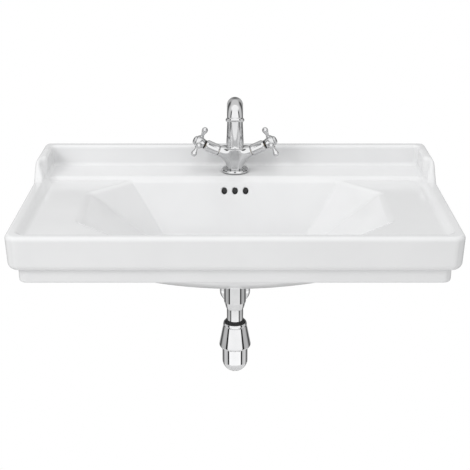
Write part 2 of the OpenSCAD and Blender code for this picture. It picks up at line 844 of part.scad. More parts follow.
module wall_rosette() {
    color("gainsboro") translate([0, 0, outlet_z]) rotate([90, 0, 0]) difference() {
        union() {
            cylinder(d = rosette_d, h = 2);
            translate([0, 0, 2]) cylinder(d1 = rosette_d, d2 = rosette_d - 12, h = 3);
            translate([0, 0, 5]) cylinder(d1 = rosette_d - 16, d2 = tube_d + 4, h = 7);
        }
        translate([0, 0, -eps]) cylinder(d = tube_d, h = 20);
    }
}

basin();
tap_body();
tap_base_ring();
tap_base_gasket();
tap_mounting_stud();
tap_horseshoe_gasket();
tap_horseshoe_washer();
tap_mounting_nut();
spout();
spout_stem();
spout_seal_rings();
spout_retaining_screw();
aerator_housing();
aerator_insert();
aerator_gasket();
bonnet(-1);  // hot_bonnet
cartridge(-1);  // hot_cartridge
fixed_disc(-1);  // hot_fixed_disc
turning_disc(-1);  // hot_turning_disc
spindle(-1);  // hot_spindle
spindle_ring(-1);  // hot_spindle_ring
cross_handle(-1);  // hot_handle
handle_screw(-1);  // hot_handle_screw
index_cap(-1);  // hot_index_cap
bonnet(1);  // cold_bonnet
cartridge(1);  // cold_cartridge
fixed_disc(1);  // cold_fixed_disc
turning_disc(1);  // cold_turning_disc
spindle(1);  // cold_spindle
spindle_ring(1);  // cold_spindle_ring
cross_handle(1);  // cold_handle
handle_screw(1);  // cold_handle_screw
index_cap(1);  // cold_index_cap
waste_body();
waste_flange_gasket();
waste_under_gasket();
waste_backnut();
waste_plug();
waste_plug_seal();
waste_plug_latch();
tail_nut();
tail_washer();
trap_inlet_tube();
trap_inlet_gland();
trap_collar_nut();
trap_body();
trap_cup();
trap_cup_seal();
outlet_nut();
outlet_seal();
outlet_pipe();
wall_rosette();
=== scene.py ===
import json
import math

import bpy
import numpy as np
from mathutils import Matrix, Vector


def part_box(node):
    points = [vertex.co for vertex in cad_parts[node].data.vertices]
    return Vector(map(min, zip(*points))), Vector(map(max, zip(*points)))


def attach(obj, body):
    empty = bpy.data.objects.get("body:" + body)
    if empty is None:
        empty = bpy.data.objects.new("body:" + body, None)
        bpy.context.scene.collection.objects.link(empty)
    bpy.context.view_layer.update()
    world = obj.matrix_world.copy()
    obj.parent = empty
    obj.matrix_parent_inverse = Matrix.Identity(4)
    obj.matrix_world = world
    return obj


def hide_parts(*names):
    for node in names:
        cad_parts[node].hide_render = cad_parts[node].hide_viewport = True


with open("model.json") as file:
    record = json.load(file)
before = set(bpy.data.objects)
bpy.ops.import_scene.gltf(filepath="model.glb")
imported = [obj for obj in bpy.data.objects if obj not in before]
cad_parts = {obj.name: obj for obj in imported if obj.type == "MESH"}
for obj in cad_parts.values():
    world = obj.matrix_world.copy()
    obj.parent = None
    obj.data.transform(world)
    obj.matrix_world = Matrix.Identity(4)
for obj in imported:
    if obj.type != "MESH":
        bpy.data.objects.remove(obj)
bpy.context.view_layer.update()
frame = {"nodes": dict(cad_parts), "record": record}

MM = 0.001

# ---------------------------------------------------------------- places taken from the frame
BASIN_LO, BASIN_HI = (np.array(v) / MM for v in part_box("basin"))
GASKET_LO, GASKET_HI = (np.array(v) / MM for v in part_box("tap_base_gasket"))
LEDGE = GASKET_LO[2]                         # top of the tap ledge
TAP_Y = (GASKET_LO[1] + GASKET_HI[1]) / 2    # axis of the tap
RIM = LEDGE + 4                              # top of the front rim
HALF_W = BASIN_HI[0]
FRONT = BASIN_LO[1]
TOP = BASIN_HI[2]
UNDER = BASIN_LO[2]                          # underside of the china at the drain
DRAIN_Y = sum(v[1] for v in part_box("waste_body")) / 2 / MM
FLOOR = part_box("waste_flange_gasket")[0][2] / MM

# ---------------------------------------------------------------- sizes of the basin, in mm
BAND = 65                                    # height of the front face's upper band
BAND_ROUND = 13                              # rounding of its lower edge
FRONT_LEAN = 0.04                            # its inward lean for each mm below the rim
SKIRT = 28                                   # height of the recessed lower band
INSET = 18                                   # its recess
CORNER = 24                                  # plan radius of the front corners
BEYOND_WALL = 80                             # outline carried past the wall, so the back stays square
RIM_W = 20
STRIP = 7                                    # width of the sloping strip inside the rim
DECK_DROP = 11
DECK = RIM - DECK_DROP
WALL = 13                                    # thickness of the china
UPSTAND = 18
BACK_PLATE = 20
LEDGE_Y = -91
WING_FOOT_Y, WING_RUN, WING_RISE = -150, 48, 34   # the ogee of the side walls' top
WING_TOP_RUN, WING_TOP_RISE = 60, 4               # its gentle climb towards the wall
BOWL_HALF = 284
BOWL_BACK = -104
BOWL_FRONT = -413
BOWL_MID = (BOWL_BACK + BOWL_FRONT) / 2
BOWL_CUT = 75
SIDE_RUN, BACK_RUN, DIAG_RUN = 1.13, 0.35, 0.69   # run of each wall for each mm of depth
FRONT_RUN = 140                              # the front wall is a quarter ellipse this long
UNDER_RISE, UNDER_HALF = 10.5, 127           # rise of the curved underside at that x
DUCT_MID, DUCT_HALF_T, DUCT_HALF_W = 13, 5, 30    # overflow duct, behind the bowl's back wall
DUCT_BACK, DUCT_SIDE = 27, 38                # outside of the china round it
DUCT_FRONT = -250                            # the duct reaches forward to here
BOSS_R = 36                                  # thick china round the drain
BOLT_X = 140
BOLT_R, BOLT_DEPTH = 9, 60
TAP_HOLE_R = 17.5
TAP_HOLE_DEPTH = 30
OVERFLOW_Y, OVERFLOW_HALF = -112, 17         # the holes' middle and half length
DRAIN_R = 23
OVERFLOW_R = 5.7
OVERFLOW_X = 21.5
OVERFLOW_Z = RIM - 31.5


# ---------------------------------------------------------------- materials
def new_material(name):
    material = bpy.data.materials.new(name)
    material.use_nodes = True
    nodes = material.node_tree.nodes
    return material, nodes, material.node_tree.links, nodes["Principled BSDF"]


def noise(nodes, links, scale, detail=3.0, stretch=(1, 1, 1)):
    """Noise in the piece's own coordinates, in metres."""
    place = nodes.new("ShaderNodeTexCoord")
    mapping = nodes.new("ShaderNodeMapping")
    mapping.inputs["Scale"].default_value = stretch
    texture = nodes.new("ShaderNodeTexNoise")
    texture.inputs["Scale"].default_value = scale
    texture.inputs["Detail"].default_value = detail
    links.new(place.outputs["Object"], mapping.inputs["Vector"])
    links.new(mapping.outputs["Vector"], texture.inputs["Vector"])
    return texture.outputs["Fac"]


NOISE_RANGE = (0.3, 0.7)                     # where noise values mostly lie


def map_range(nodes, links, value, from_min, from_max, to_min=0.0, to_max=1.0):
    """Maps from_min..from_max to to_min..to_max, held at its ends."""
    remap = nodes.new("ShaderNodeMapRange")
    remap.inputs["From Min"].default_value = from_min
    remap.inputs["From Max"].default_value = from_max
    remap.inputs["To Min"].default_value = to_min
    remap.inputs["To Max"].default_value = to_max
    links.new(value, remap.inputs["Value"])
    return remap.outputs["Result"]


def maths(nodes, links, kind, *values):
    """A math node on sockets or plain numbers."""
    node = nodes.new("ShaderNodeMath")
    node.operation = kind
    for socket, value in zip(node.inputs, values):
        if isinstance(value, (int, float)):
            socket.default_value = value
        else:
            links.new(value, socket)
    return node.outputs["Value"]


def spread(nodes, links, value, low, high):
    """Maps a noise value to low..high."""
    return map_range(nodes, links, value, *NOISE_RANGE, low, high)


def two_tone(nodes, links, value, dark, light):
    ramp = nodes.new("ShaderNodeValToRGB")
    ramp.color_ramp.elements[0].position = NOISE_RANGE[0]
    ramp.color_ramp.elements[0].color = (*dark, 1)
    ramp.color_ramp.elements[1].position = NOISE_RANGE[1]
    ramp.color_ramp.elements[1].color = (*light, 1)
    links.new(value, ramp.inputs["Fac"])
    return ramp.outputs["Color"]


def bump(nodes, links, shader, value, strength, distance):
    node = nodes.new("ShaderNodeBump")
    node.inputs["Strength"].default_value = strength
    node.inputs["Distance"].default_value = distance
    links.new(value, node.inputs["Height"])
    links.new(node.outputs["Normal"], shader.inputs["Normal"])


def duct_painted_shade(nodes, links):
    """Painted shade: 1 on the walls of the overflow holes and of the duct behind them, which are coloured
    near black to stand for the shade deep inside, 0 elsewhere.
    """
    n = math.hypot(1, BACK_RUN)
    place = nodes.new("ShaderNodeTexCoord")
    behind = nodes.new("ShaderNodeVectorMath")
    behind.operation = "DOT_PRODUCT"
    behind.inputs[1].default_value = (0, 1 / n / MM, -BACK_RUN / n / MM)
    links.new(place.outputs["Object"], behind.inputs[0])
    split = nodes.new("ShaderNodeSeparateXYZ")
    links.new(place.outputs["Object"], split.inputs["Vector"])
    offset = (BACK_RUN * DECK - BOWL_BACK) / n
    edge = DUCT_HALF_W + 3
    inside = None
    # outside and inside of each limit of the space painted with shade: bowl side, back, right, left, below,
    # above
    for value, out, within in ((behind.outputs["Value"], 1.5 - offset, 3 - offset),
                               (behind.outputs["Value"], 23 - offset, 21 - offset),
                               (split.outputs["X"], (edge + 0.5) * MM, edge * MM),
                               (split.outputs["X"], -(edge + 0.5) * MM, -edge * MM),
                               (split.outputs["Z"], (UNDER + 8) * MM, (UNDER + 9) * MM),
                               (split.outputs["Z"], (RIM - 23.5) * MM, (RIM - 24) * MM)):
        step = map_range(nodes, links, value, out, within)
        inside = step if inside is None else maths(nodes, links, "MULTIPLY", inside, step)
    return inside


def glazed_china():
    """White vitreous china: a clear glaze with a faint ripple and a slightly uneven tone, with painted shade,
    near black, inside the overflow holes and duct.
    """
    material, nodes, links, shader = new_material("glazed_china")
    tone = noise(nodes, links, 9, 4)
    glaze = two_tone(nodes, links, tone, (0.80, 0.803, 0.808), (0.83, 0.833, 0.837))
    colour = nodes.new("ShaderNodeMix")
    colour.data_type = "RGBA"
    # painted shade: the white china inside the overflow holes and duct is coloured near black for the shade
    # deep in them
    links.new(duct_painted_shade(nodes, links), colour.inputs["Factor"])
    lit, dark = [socket for socket in colour.inputs if socket.type == "RGBA"]
    links.new(glaze, lit)
    dark.default_value = (0.02, 0.02, 0.02, 1)
    mixed = [socket for socket in colour.outputs if socket.type == "RGBA"][0]
    links.new(mixed, shader.inputs["Base Color"])
    links.new(spread(nodes, links, noise(nodes, links, 60, 4), 0.1, 0.16), shader.inputs["Roughness"])
    shader.inputs["IOR"].default_value = 1.46
    bump(nodes, links, shader, noise(nodes, links, 45, 2), 0.12, 0.0006)
    return material


def metal(name, dark, light, rough, scale=70, stretch=(1, 1, 1), strength=0.05):
    material, nodes, links, shader = new_material(name)
    shader.inputs["Metallic"].default_value = 1.0
    tone = noise(nodes, links, scale / 2, 4)
    links.new(two_tone(nodes, links, tone, dark, light), shader.inputs["Base Color"])
    wear = noise(nodes, links, scale, 5, stretch)
    links.new(spread(nodes, links, wear, *rough), shader.inputs["Roughness"])
    bump(nodes, links, shader, noise(nodes, links, scale * 3, 2, stretch), strength, 0.0002)
    return material


def dull(name, dark, light, rough, scale=220, strength=0.3):
    material, nodes, links, shader = new_material(name)
    tone = noise(nodes, links, scale / 4, 4)
    links.new(two_tone(nodes, links, tone, dark, light), shader.inputs["Base Color"])
    links.new(spread(nodes, links, noise(nodes, links, scale, 4), *rough), shader.inputs["Roughness"])
    bump(nodes, links, shader, noise(nodes, links, scale * 2, 3), strength, 0.0003)
    return material


MATERIALS = {
    "china": glazed_china(),
    "chrome": metal("chrome_plate", (0.6, 0.605, 0.61), (0.65, 0.65, 0.655), (0.03, 0.07), strength=0.03),
    "rubber": dull("black_rubber", (0.012, 0.012, 0.013), (0.03, 0.03, 0.031), (0.5, 0.7)),
    "black_plastic": dull("black_plastic", (0.006, 0.006, 0.006), (0.014, 0.014, 0.014), (0.25, 0.4),
                          strength=0.1),
    "brass": metal("valve_brass", (0.62, 0.44, 0.18), (0.76, 0.58, 0.3), (0.2, 0.34), 120, strength=0.15),
    "steel": metal("zinc_steel", (0.5, 0.5, 0.51), (0.62, 0.62, 0.62), (0.25, 0.4), 150, (1, 1, 6), 0.2),
    "ceramic_disc": dull("lapped_ceramic", (0.78, 0.77, 0.73), (0.86, 0.85, 0.82), (0.2, 0.3),
                         strength=0.05),
    "white_plastic": dull("white_plastic", (0.7, 0.7, 0.69), (0.78, 0.78, 0.77), (0.3, 0.45),
                          strength=0.1),
}


def finish_cad_nodes():
    slots = {part["node"]: part["material_slot"] for part in frame["record"]["subparts"]}
    for name, node in frame["nodes"].items():
        node.data.materials.clear()
        node.data.materials.append(MATERIALS[slots[name]])


# ---------------------------------------------------------------- making pieces
def make_piece(name, vertices, faces, normals, body, slot, *nodes):
    """A smooth mesh piece from millimetre coordinates, standing for the named CAD nodes."""
    mesh = bpy.data.meshes.new(name)
    mesh.from_pydata((np.asarray(vertices) * MM).tolist(), [], [list(map(int, f)) for f in faces])
    mesh.validate()
    mesh.shade_smooth()
    if normals is not None:
        mesh.normals_split_custom_set_from_vertices(np.asarray(normals).tolist())
    mesh.materials.append(MATERIALS[slot])
    piece = bpy.data.objects.new(name, mesh)
    bpy.context.scene.collection.objects.link(piece)
    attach(piece, body)
    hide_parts(*nodes)
    return piece


# ---------------------------------------------------------------- solids as distance fields
def both(a, b, r=0.0):
    """Where two solids overlap, with the new edge rounded to radius r."""
    return np.minimum(np.maximum(a, b), -r) + np.hypot(np.maximum(a + r, 0), np.maximum(b + r, 0))


def either(a, b, r=0.0):
    """Two solids joined, with a fillet of radius r in the corner."""
    return -both(-a, -b, r)


def without(a, b, r=0.0):
    """The first solid with the second cut away."""
    return both(a, -b, r)


def smoothstep(t):
    t = np.clip(t, 0, 1)
    return t * t * (3 - 2 * t)


def cell_sums(crossings, axis):
    """Adds what lies on the grid edges along one axis to the four cells round each edge."""
    a, b = [k for k in range(3) if k != axis]
    total = crossings
    for k in (a, b):
        low = [slice(None)] * crossings.ndim
        high = [slice(None)] * crossings.ndim
        low[k] = slice(None, -1)
        high[k] = slice(1, None)
        total = total[tuple(low)] + total[tuple(high)]
    return total


def mesh_field(field, xs, ys, zs):
    """Vertices and quads of the surface where field(x, y, z) is 0, on a grid of uneven spacing."""
    axes = [np.asarray(v, float) for v in (xs, ys, zs)]
    grid = np.meshgrid(*axes, indexing="ij")
    value = field(*grid)
    inside = value < 0
    cells = tuple(n - 1 for n in value.shape)
    place = np.zeros(cells + (3,))
    count = np.zeros(cells)
    crossed = []
    for axis in range(3):
        low = [slice(None)] * 3
        high = [slice(None)] * 3
        low[axis] = slice(None, -1)
        high[axis] = slice(1, None)
        low, high = tuple(low), tuple(high)
        cross = inside[low] != inside[high]
        crossed.append(cross)
        gap = value[low] - value[high]
        t = np.where(cross, value[low] / np.where(cross, gap, 1), 0)
        for k in range(3):
            at = grid[k][low] + (t * (grid[k][high] - grid[k][low]) if k == axis else 0)
            place[..., k] += cell_sums(np.where(cross, at, 0), axis)
        count += cell_sums(cross.astype(float), axis)
    used = count > 0
    index = np.full(cells, -1)
    index[used] = np.arange(used.sum())
    points = place[used] / count[used][:, None]
    faces = []
    for axis in range(3):
        a, b = (axis + 1) % 3, (axis + 2) % 3
        cross = crossed[axis].copy()
        for k in (a, b):
            for end in (0, -1):
                edge = [slice(None)] * 3
                edge[k] = end
                cross[tuple(edge)] = False
        at = np.argwhere(cross)
        step_a, step_b = np.eye(3, dtype=int)[a], np.eye(3, dtype=int)[b]
        ring = [at - step_a - step_b, at - step_b, at, at - step_a]
        quads = np.stack([index[tuple(c.T)] for c in ring], axis=1)
        flip = ~inside[tuple(at.T)]
        quads[flip] = quads[flip][:, ::-1]
        faces.append(quads)
    return settle(field, points), np.concatenate(faces)


def gradient(field, p, h):
    columns = []
    for k in range(3):
        step = np.zeros(3)
        step[k] = h
        columns.append((field(*(p + step).T) - field(*(p - step).T)) / (2 * h))
    return np.stack(columns, axis=1)


def settle(field, points, rounds=4, most=1.5):
    """Moves points onto the surface."""
    for _ in range(rounds):
        g = gradient(field, points, 0.05)
        move = field(*points.T)[:, None] * g / np.maximum((g * g).sum(1), 1e-6)[:, None]
        length = np.linalg.norm(move, axis=1, keepdims=True)
        points = points - move * np.minimum(1, most / np.maximum(length, 1e-9))
    return points


def field_normals(field, points, h):
    g = gradient(field, points, h)
    return g / np.maximum(np.linalg.norm(g, axis=1, keepdims=True), 1e-9)


def lines_between(*stretches):
    """Grid lines from (start, end, spacing) stretches that follow each other."""
    out = [stretches[0][0]]
    for start, end, spacing in stretches:
        n = max(1, round((end - start) / spacing))
        out.extend(start + (end - start) * (i + 1) / n for i in range(n))
    return np.array(out)


# ---------------------------------------------------------------- the basin
def plan(x, y, x_half, y_front, y_back, r_front, r_back=0.5):
    """Distance to a plan rectangle whose front and back corners have their own radii."""
    middle = (y_front + y_back) / 2
    r = np.where(y < middle, r_front, r_back)
    qx = np.abs(x) - x_half + r
    qy = np.abs(y - middle) - (y_back - y_front) / 2 + r
    return np.hypot(np.maximum(qx, 0), np.maximum(qy, 0)) + np.minimum(np.maximum(qx, qy), 0) - r


def wing_height(y):
    """Height of the side walls' top: rim level in front, an ogee, then gently up to the wall."""
    ogee = smoothstep((y - WING_FOOT_Y) / WING_RUN)
    climb = np.clip((y - (WING_FOOT_Y + WING_RUN)) / WING_TOP_RUN, 0, 1)
    return RIM + WING_RISE * ogee + WING_TOP_RISE * climb


def bowl_space(x, y, z, grow=0.0, bottom=FLOOR, run=FRONT_RUN, crease=1.2, base=30.0):
    """Eight-sided bowl with a curved front, grown by a wall; crease and base are roundings."""
    down = DECK - z
    side = (np.abs(x) - BOWL_HALF + SIDE_RUN * down) / math.hypot(1, SIDE_RUN) - grow
    back = (y - BOWL_BACK + BACK_RUN * down) / math.hypot(1, BACK_RUN) - grow
    reach = BOWL_HALF + (BOWL_BACK - BOWL_MID) - BOWL_CUT
    diag = (np.abs(x) + np.abs(y - BOWL_MID) - reach) / math.sqrt(2)
    diag = (diag + DIAG_RUN * down) / math.hypot(1, DIAG_RUN) - grow
    depth = DECK - bottom
    qy = np.minimum(y - (BOWL_FRONT - grow) - run, 0) / run
    qz = np.maximum(down, 0) / depth
    q = np.sqrt(qy * qy + qz * qz) + 1e-9
    front = (q - 1) * q / np.sqrt((qy / run) ** 2 + (qz / depth) ** 2 + 1e-12)
    walls = both(both(side, diag, crease * 2), both(back, front, 2.0), crease)
    return both(walls, bottom - z, base)


def basin_field(x, y, z):
    lean = FRONT_LEAN * (RIM - z)
    outer = plan(x, y, HALF_W, FRONT, BEYOND_WALL, CORNER)
    band = both(outer + np.maximum(lean, 0), RIM - BAND - z, BAND_ROUND)
    slope = wing_height(y + 0.5) - wing_height(y - 0.5)
    top_round = 8 + 6 * smoothstep((y + 100) / 60)
    band = both(band, (z - wing_height(y)) / np.sqrt(1 + slope * slope), top_round)
    band = both(band, y, 3)
    lower = both(plan(x, y, HALF_W - INSET, FRONT + INSET, 0, CORNER - 8), RIM - BAND - SKIRT - z, 5)
    lower = both(lower, z - (RIM - BAND + 10))
    body = either(band, lower, 2)
    # tap ledge and decks
    inner = plan(x, y, HALF_W - RIM_W, FRONT + RIM_W, -UPSTAND, 16, 9)
    ledge_cut = both(inner, LEDGE - z, 7)
    deck_plan = plan(x, y, HALF_W - RIM_W - 2, FRONT + RIM_W + 2, LEDGE_Y - 2, 16, 24)
    sloped = (deck_plan + STRIP / DECK_DROP * (RIM - z) * 0.75) / math.hypot(1, 0.48)
    deck_cut = both(sloped, DECK - z, 6)
    body = without(body, either(ledge_cut, deck_cut, 4), 6)
    # underside
    cavity = plan(x, y, HALF_W - INSET - WALL, FRONT + INSET + WALL, -BACK_PLATE, 14, 8)
    hollow = both(cavity, z - (DECK - WALL), 8)
    under = UNDER + UNDER_RISE * np.minimum((x / UNDER_HALF) ** 2, 3)
    shell = bowl_space(x, y, z, WALL, under, FRONT_RUN + 35, 7, 24)
    leaning = y - BOWL_BACK + BACK_RUN * (DECK - z)
    duct = both(both(np.abs(x) - DUCT_SIDE, leaning - DUCT_BACK, 8), UNDER - z, 12)
    duct = both(duct, DUCT_FRONT - y)
    shell = either(shell, both(duct, z - (DECK - WALL)), 8)
    boss = both(np.hypot(x, y - DRAIN_Y) - BOSS_R, UNDER - z, 3)
    shell = either(shell, boss, 6)
    shell = both(shell, z - (DECK - WALL / 2))
    body = both(either(without(body, hollow, 5), shell, 6), UNDER - z)
    # bowl and holes
    body = without(body, bowl_space(x, y, z), 6)
    body = without(body, np.hypot(x, y - DRAIN_Y) - DRAIN_R, 2)
    body = without(body, both(np.hypot(x, y - TAP_Y) - TAP_HOLE_R, LEDGE - TAP_HOLE_DEPTH - z), 1)
    channel = both(np.abs(leaning / math.hypot(1, BACK_RUN) - DUCT_MID) - DUCT_HALF_T,
                   np.abs(x) - DUCT_HALF_W, 3)
    channel = both(channel, np.abs(z - (DECK + FLOOR) / 2) - (DECK - FLOOR) / 2 + 14, 3)
    body = without(body, channel, 1)
    tilt = math.atan(BACK_RUN)
    inward = y - BOWL_BACK + BACK_RUN * (DECK - OVERFLOW_Z)
    across = (z - OVERFLOW_Z) * math.cos(tilt) - inward * math.sin(tilt)
    for i in (-1, 0, 1):
        hole = np.hypot(x - i * OVERFLOW_X, across) - OVERFLOW_R
        hole = both(hole, np.abs(y - OVERFLOW_Y) - OVERFLOW_HALF)
        body = without(body, hole, 1.6)
    bolts = both(np.hypot(np.abs(x) - BOLT_X, z) - BOLT_R, -y - BOLT_DEPTH)
    return without(body, bolts, 1)


def make_basin():
    coarse = 5.0
    half = lines_between((0, 33, 2.2), (33, 355, coarse), (355, HALF_W + 3, 2.5))
    xs = np.concatenate([-half[::-1], half[1:]]) + 0.013
    ys = lines_between((FRONT - 2.6, FRONT + 46, 2.7), (FRONT + 46, -170, coarse), (-170, 2.9, 2.9))
    zs = lines_between((UNDER - 4, RIM - 98, 4.0), (RIM - 98, RIM - 54, 2.4), (RIM - 54, RIM - 40, 3.5),
                       (RIM - 40, RIM + 4, 2.0), (RIM + 4, TOP + 3, 2.5))
    points, faces = mesh_field(basin_field, xs, ys, zs)
    normals = field_normals(basin_field, points, 0.05)
    make_piece("basin_china", points, faces, normals, "fixed_parts", "china", "basin")


# ---------------------------------------------------------------- round pieces
def turn(axis, degrees):
    return np.array(Matrix.Rotation(math.radians(degrees), 4, axis))


def shift(x, y, z):
    return np.array(Matrix.Translation((x, y, z)))


def rounded_profile(corners, steps=6):
    """(r, z) points and normals of an outline whose (r, z, fillet) corners are rounded.

    Ends on the axis stay open.
    """
    area = sum(a[0] * b[1] - b[0] * a[1] for a, b in zip(corners, corners[1:] + corners[:1]))
    corners = corners if area > 0 else corners[::-1]
    points, normals = [], []
    count = len(corners)
    for i, (r, z, fillet) in enumerate(corners):
        here = np.array((r, z), float)
        before = np.array(corners[i - 1][:2], float) - here
        after = np.array(corners[(i + 1) % count][:2], float) - here
        back_len, fore_len = np.linalg.norm(before), np.linalg.norm(after)
        back, fore = before / back_len, after / fore_len
        n_in, n_out = np.array((-back[1], back[0])), np.array((fore[1], -fore[0]))
        if r < 1e-6:
            points.append(here)
            normals.append(n_out if corners[i - 1][0] < 1e-6 else n_in)
            continue
        half = math.acos(np.clip(back @ fore, -1, 1)) / 2
        cut = min(max(fillet, 0.12) / math.tan(max(half, 0.05)), back_len * 0.48, fore_len * 0.48)
        for k in range(steps + 1):
            t = k / steps
            blend = (1 - t) ** 2 * (here + back * cut) + 2 * t * (1 - t) * here + t * t * (here + fore * cut)
            normal = n_in * (1 - t) + n_out * t
            points.append(blend)
            normals.append(normal / max(np.linalg.norm(normal), 1e-9))
    return points, normals


def lathe(name, corners, place, body, slot, *nodes, segments=96):
    """A piece turned about its own z axis from a rounded outline."""
    profile, slopes = rounded_profile(corners)
    closed = corners[0][0] > 1e-6 or corners[-1][0] > 1e-6
    vertices, normals, rows = [], [], []
    for (r, z), (nr, nz) in zip(profile, slopes):
        ring = []
        for k in range(1 if r < 1e-6 else segments):
            a = 2 * math.pi * k / segments
            ring.append(len(vertices))
            vertices.append((r * math.cos(a), r * math.sin(a), z))
            normals.append((nr * math.cos(a), nr * math.sin(a), nz))
        rows.append(ring)
    pairs = list(zip(rows, rows[1:])) + ([(rows[-1], rows[0])] if closed else [])
    faces = []
    for low, high in pairs:
        if len(low) == 1 and len(high) == 1:
            continue
        for k in range(segments):
            n = (k + 1) % segments
            if len(low) == 1:
                faces.append((low[0], high[n], high[k]))
            elif len(high) == 1:
                faces.append((low[k], low[n], high[0]))
            else:
                faces.append((low[k], low[n], high[n], high[k]))
    return placed(name, vertices, faces, normals, place, body, slot, *nodes)


def placed(name, vertices, faces, normals, place, body, slot, *nodes):
    turned = np.asarray(vertices) @ place[:3, :3].T + place[:3, 3]
    facing = np.asarray(normals) @ place[:3, :3].T
    return make_piece(name, turned, faces, facing, body, slot, *nodes)


def placed_field(name, field, lines, place, body, slot, *nodes):
    points, faces = mesh_field(field, *lines)
    normals = field_normals(field, points, 0.02)
    return placed(name, points, faces, normals, place, body, slot, *nodes)


# ---------------------------------------------------------------- the tap
AT_TAP = shift(0, TAP_Y, LEDGE)
ARM_TILT = 25
ARM_H = 28
BODY_TOP = 50
BODY_FOOT = 6.5
FOOT_R = 19.5
TUBE_R = 15.5
REACH = 100
TILT = 15
KNEE_H = 138
BEND_R = 34
NOSE_R = 24
NOSE_LEN = 7


def on_valve(side):
    return AT_TAP @ shift(0, 0, ARM_H) @ turn("Y", side * (90 - ARM_TILT))


def tap_body_field(x, y, z):
    """Neck widening upwards, with a smoothly blended arm to each side."""
    q = np.hypot(x, y)
    core = both(q - (17.6 + 1.9 * smoothstep((z - 22) / 28)), z - BODY_TOP, 0.8)
    core = both(core, BODY_FOOT - z, 0.6)
    c, s = math.cos(math.radians(ARM_TILT)), math.sin(math.radians(ARM_TILT))
    along = np.abs(x) * c + (z - ARM_H) * s
    aside = np.hypot(y, -np.abs(x) * s + (z - ARM_H) * c)
    arm = both(aside - 10.6, along - 36, 1.2)
    arm = both(arm, 4 - along)
    return either(core, arm, 15)


def make_tap_body():
    lines = (lines_between((-38, 38, 0.8)) + 0.011, lines_between((-21, 21, 0.8)) + 0.007,
             lines_between((5.5, 62, 0.8)))
    placed_field("tap_body_casting", tap_body_field, lines, AT_TAP, "fixed_parts", "chrome", "tap_body")


def spout_stations():
    """(y, z, heading, radius) along the spout; the heading leans from straight up towards the user."""
    rise = 90 - TILT
    knee = BEND_R * math.tan(math.radians(rise / 2))
    out = math.radians(TILT)
    run = (REACH - (NOSE_R + NOSE_LEN) * math.sin(out)) / math.cos(out) - knee - NOSE_R
    top = KNEE_H - knee
    stations = []
    foot = BODY_TOP + 0.35
    for z, inset in ((0, 0.6), (0.25, 0.2), (0.8, 0), (2.2, 0), (2.75, 0.25), (3.0, 0.8), (3.3, 1.25),
                     (4.5, 1.5)):
        stations.append((0, foot + z, 0, FOOT_R - inset))
    for k in range(1, 13):
        t = k / 12
        z = foot + 4.5 + (top - foot - 4.5) * t
        stations.append((0, z, 0, FOOT_R - 1.5 + (TUBE_R - FOOT_R + 1.5) * (1.25 * t - 0.25 * t * t)))
    for k in range(1, 19):
        a = math.radians(rise * k / 18)
        stations.append((-BEND_R + BEND_R * math.cos(a), top + BEND_R * math.sin(a), a, TUBE_R))
    y, z, a, _ = stations[-1]
    for k in range(1, 5):
        stations.append((y - run * k / 4 * math.sin(a), z + run * k / 4 * math.cos(a), a, TUBE_R))
    y, z, a, _ = stations[-1]
    cy, cz = y - NOSE_R * math.cos(a), z - NOSE_R * math.sin(a)
    for k in range(1, 19):
        b = a + math.radians(90 * k / 18)
        stations.append((cy + NOSE_R * math.cos(b), cz + NOSE_R * math.sin(b), b, TUBE_R))
    y, z, a, _ = stations[-1]
    stations.append((y - (NOSE_LEN - 0.5) * math.sin(a), z + (NOSE_LEN - 0.5) * math.cos(a), a, TUBE_R))
    return stations


def make_spout(segments=72):
    stations = spout_stations()
    vertices, normals, faces = [], [], []
    for i, (y, z, a, r) in enumerate(stations):
        near, far_end = stations[max(i - 1, 0)], stations[min(i + 1, len(stations) - 1)]
        length = math.hypot(far_end[0] - near[0], far_end[1] - near[1])
        slope = (far_end[3] - near[3]) / max(length, 1e-6) if a == 0 else 0.0
        for k in range(segments):
            t = 2 * math.pi * k / segments
            side, front = math.cos(t), math.sin(t)
            vertices.append((r * side, y - r * front * math.cos(a), z - r * front * math.sin(a)))
            n = np.array((side, slope * math.sin(a) - front * math.cos(a),
                          -front * math.sin(a) - slope * math.cos(a)))
            normals.append(n / np.linalg.norm(n))
    rows = len(stations)
    for i in range(rows - 1):
        for k in range(segments):
            n = (k + 1) % segments
            faces.append((i * segments + k, (i + 1) * segments + k, (i + 1) * segments + n, i * segments + n))
    faces.append(tuple(range(segments)))
    faces.append(tuple((rows - 1) * segments + k for k in reversed(range(segments))))
    placed("swan_spout", vertices, faces, normals, AT_TAP, "swivel_spout", "chrome", "spout")


def at_outlet():
    y, z, a, _ = spout_stations()[-1]
    return AT_TAP @ shift(0, y, z) @ turn("X", math.degrees(a)) @ shift(0, 0, 0.5)


def cross_handle_field(x, y, z):
    """Turned hub with four arms that swell to balls; z runs outwards along the spindle."""
    q = np.hypot(x, y)
    whole = both(q - (11 - 0.018 * (z - 79) ** 2), np.abs(z - 78.5) - 9.3, 1.6)
    for along, aside in ((np.abs(x), y), (np.abs(y), x)):
        off = np.hypot(aside, z - 80)
        neck = 2.9 + 1.7 * smoothstep((along - 13) / 12) + 1.6 * smoothstep((12 - along) / 3)
        arm = both(off - neck, along - 28)
        ball = np.sqrt((along - 27.6) ** 2 + off * off) - 5.9
        collar = both(off - 4.6, np.abs(along - 13.2) - 0.9, 0.8)
        whole = either(whole, either(either(arm, ball, 2.5), collar, 0.5), 1.8)
    return both(whole, 69.2 - z)


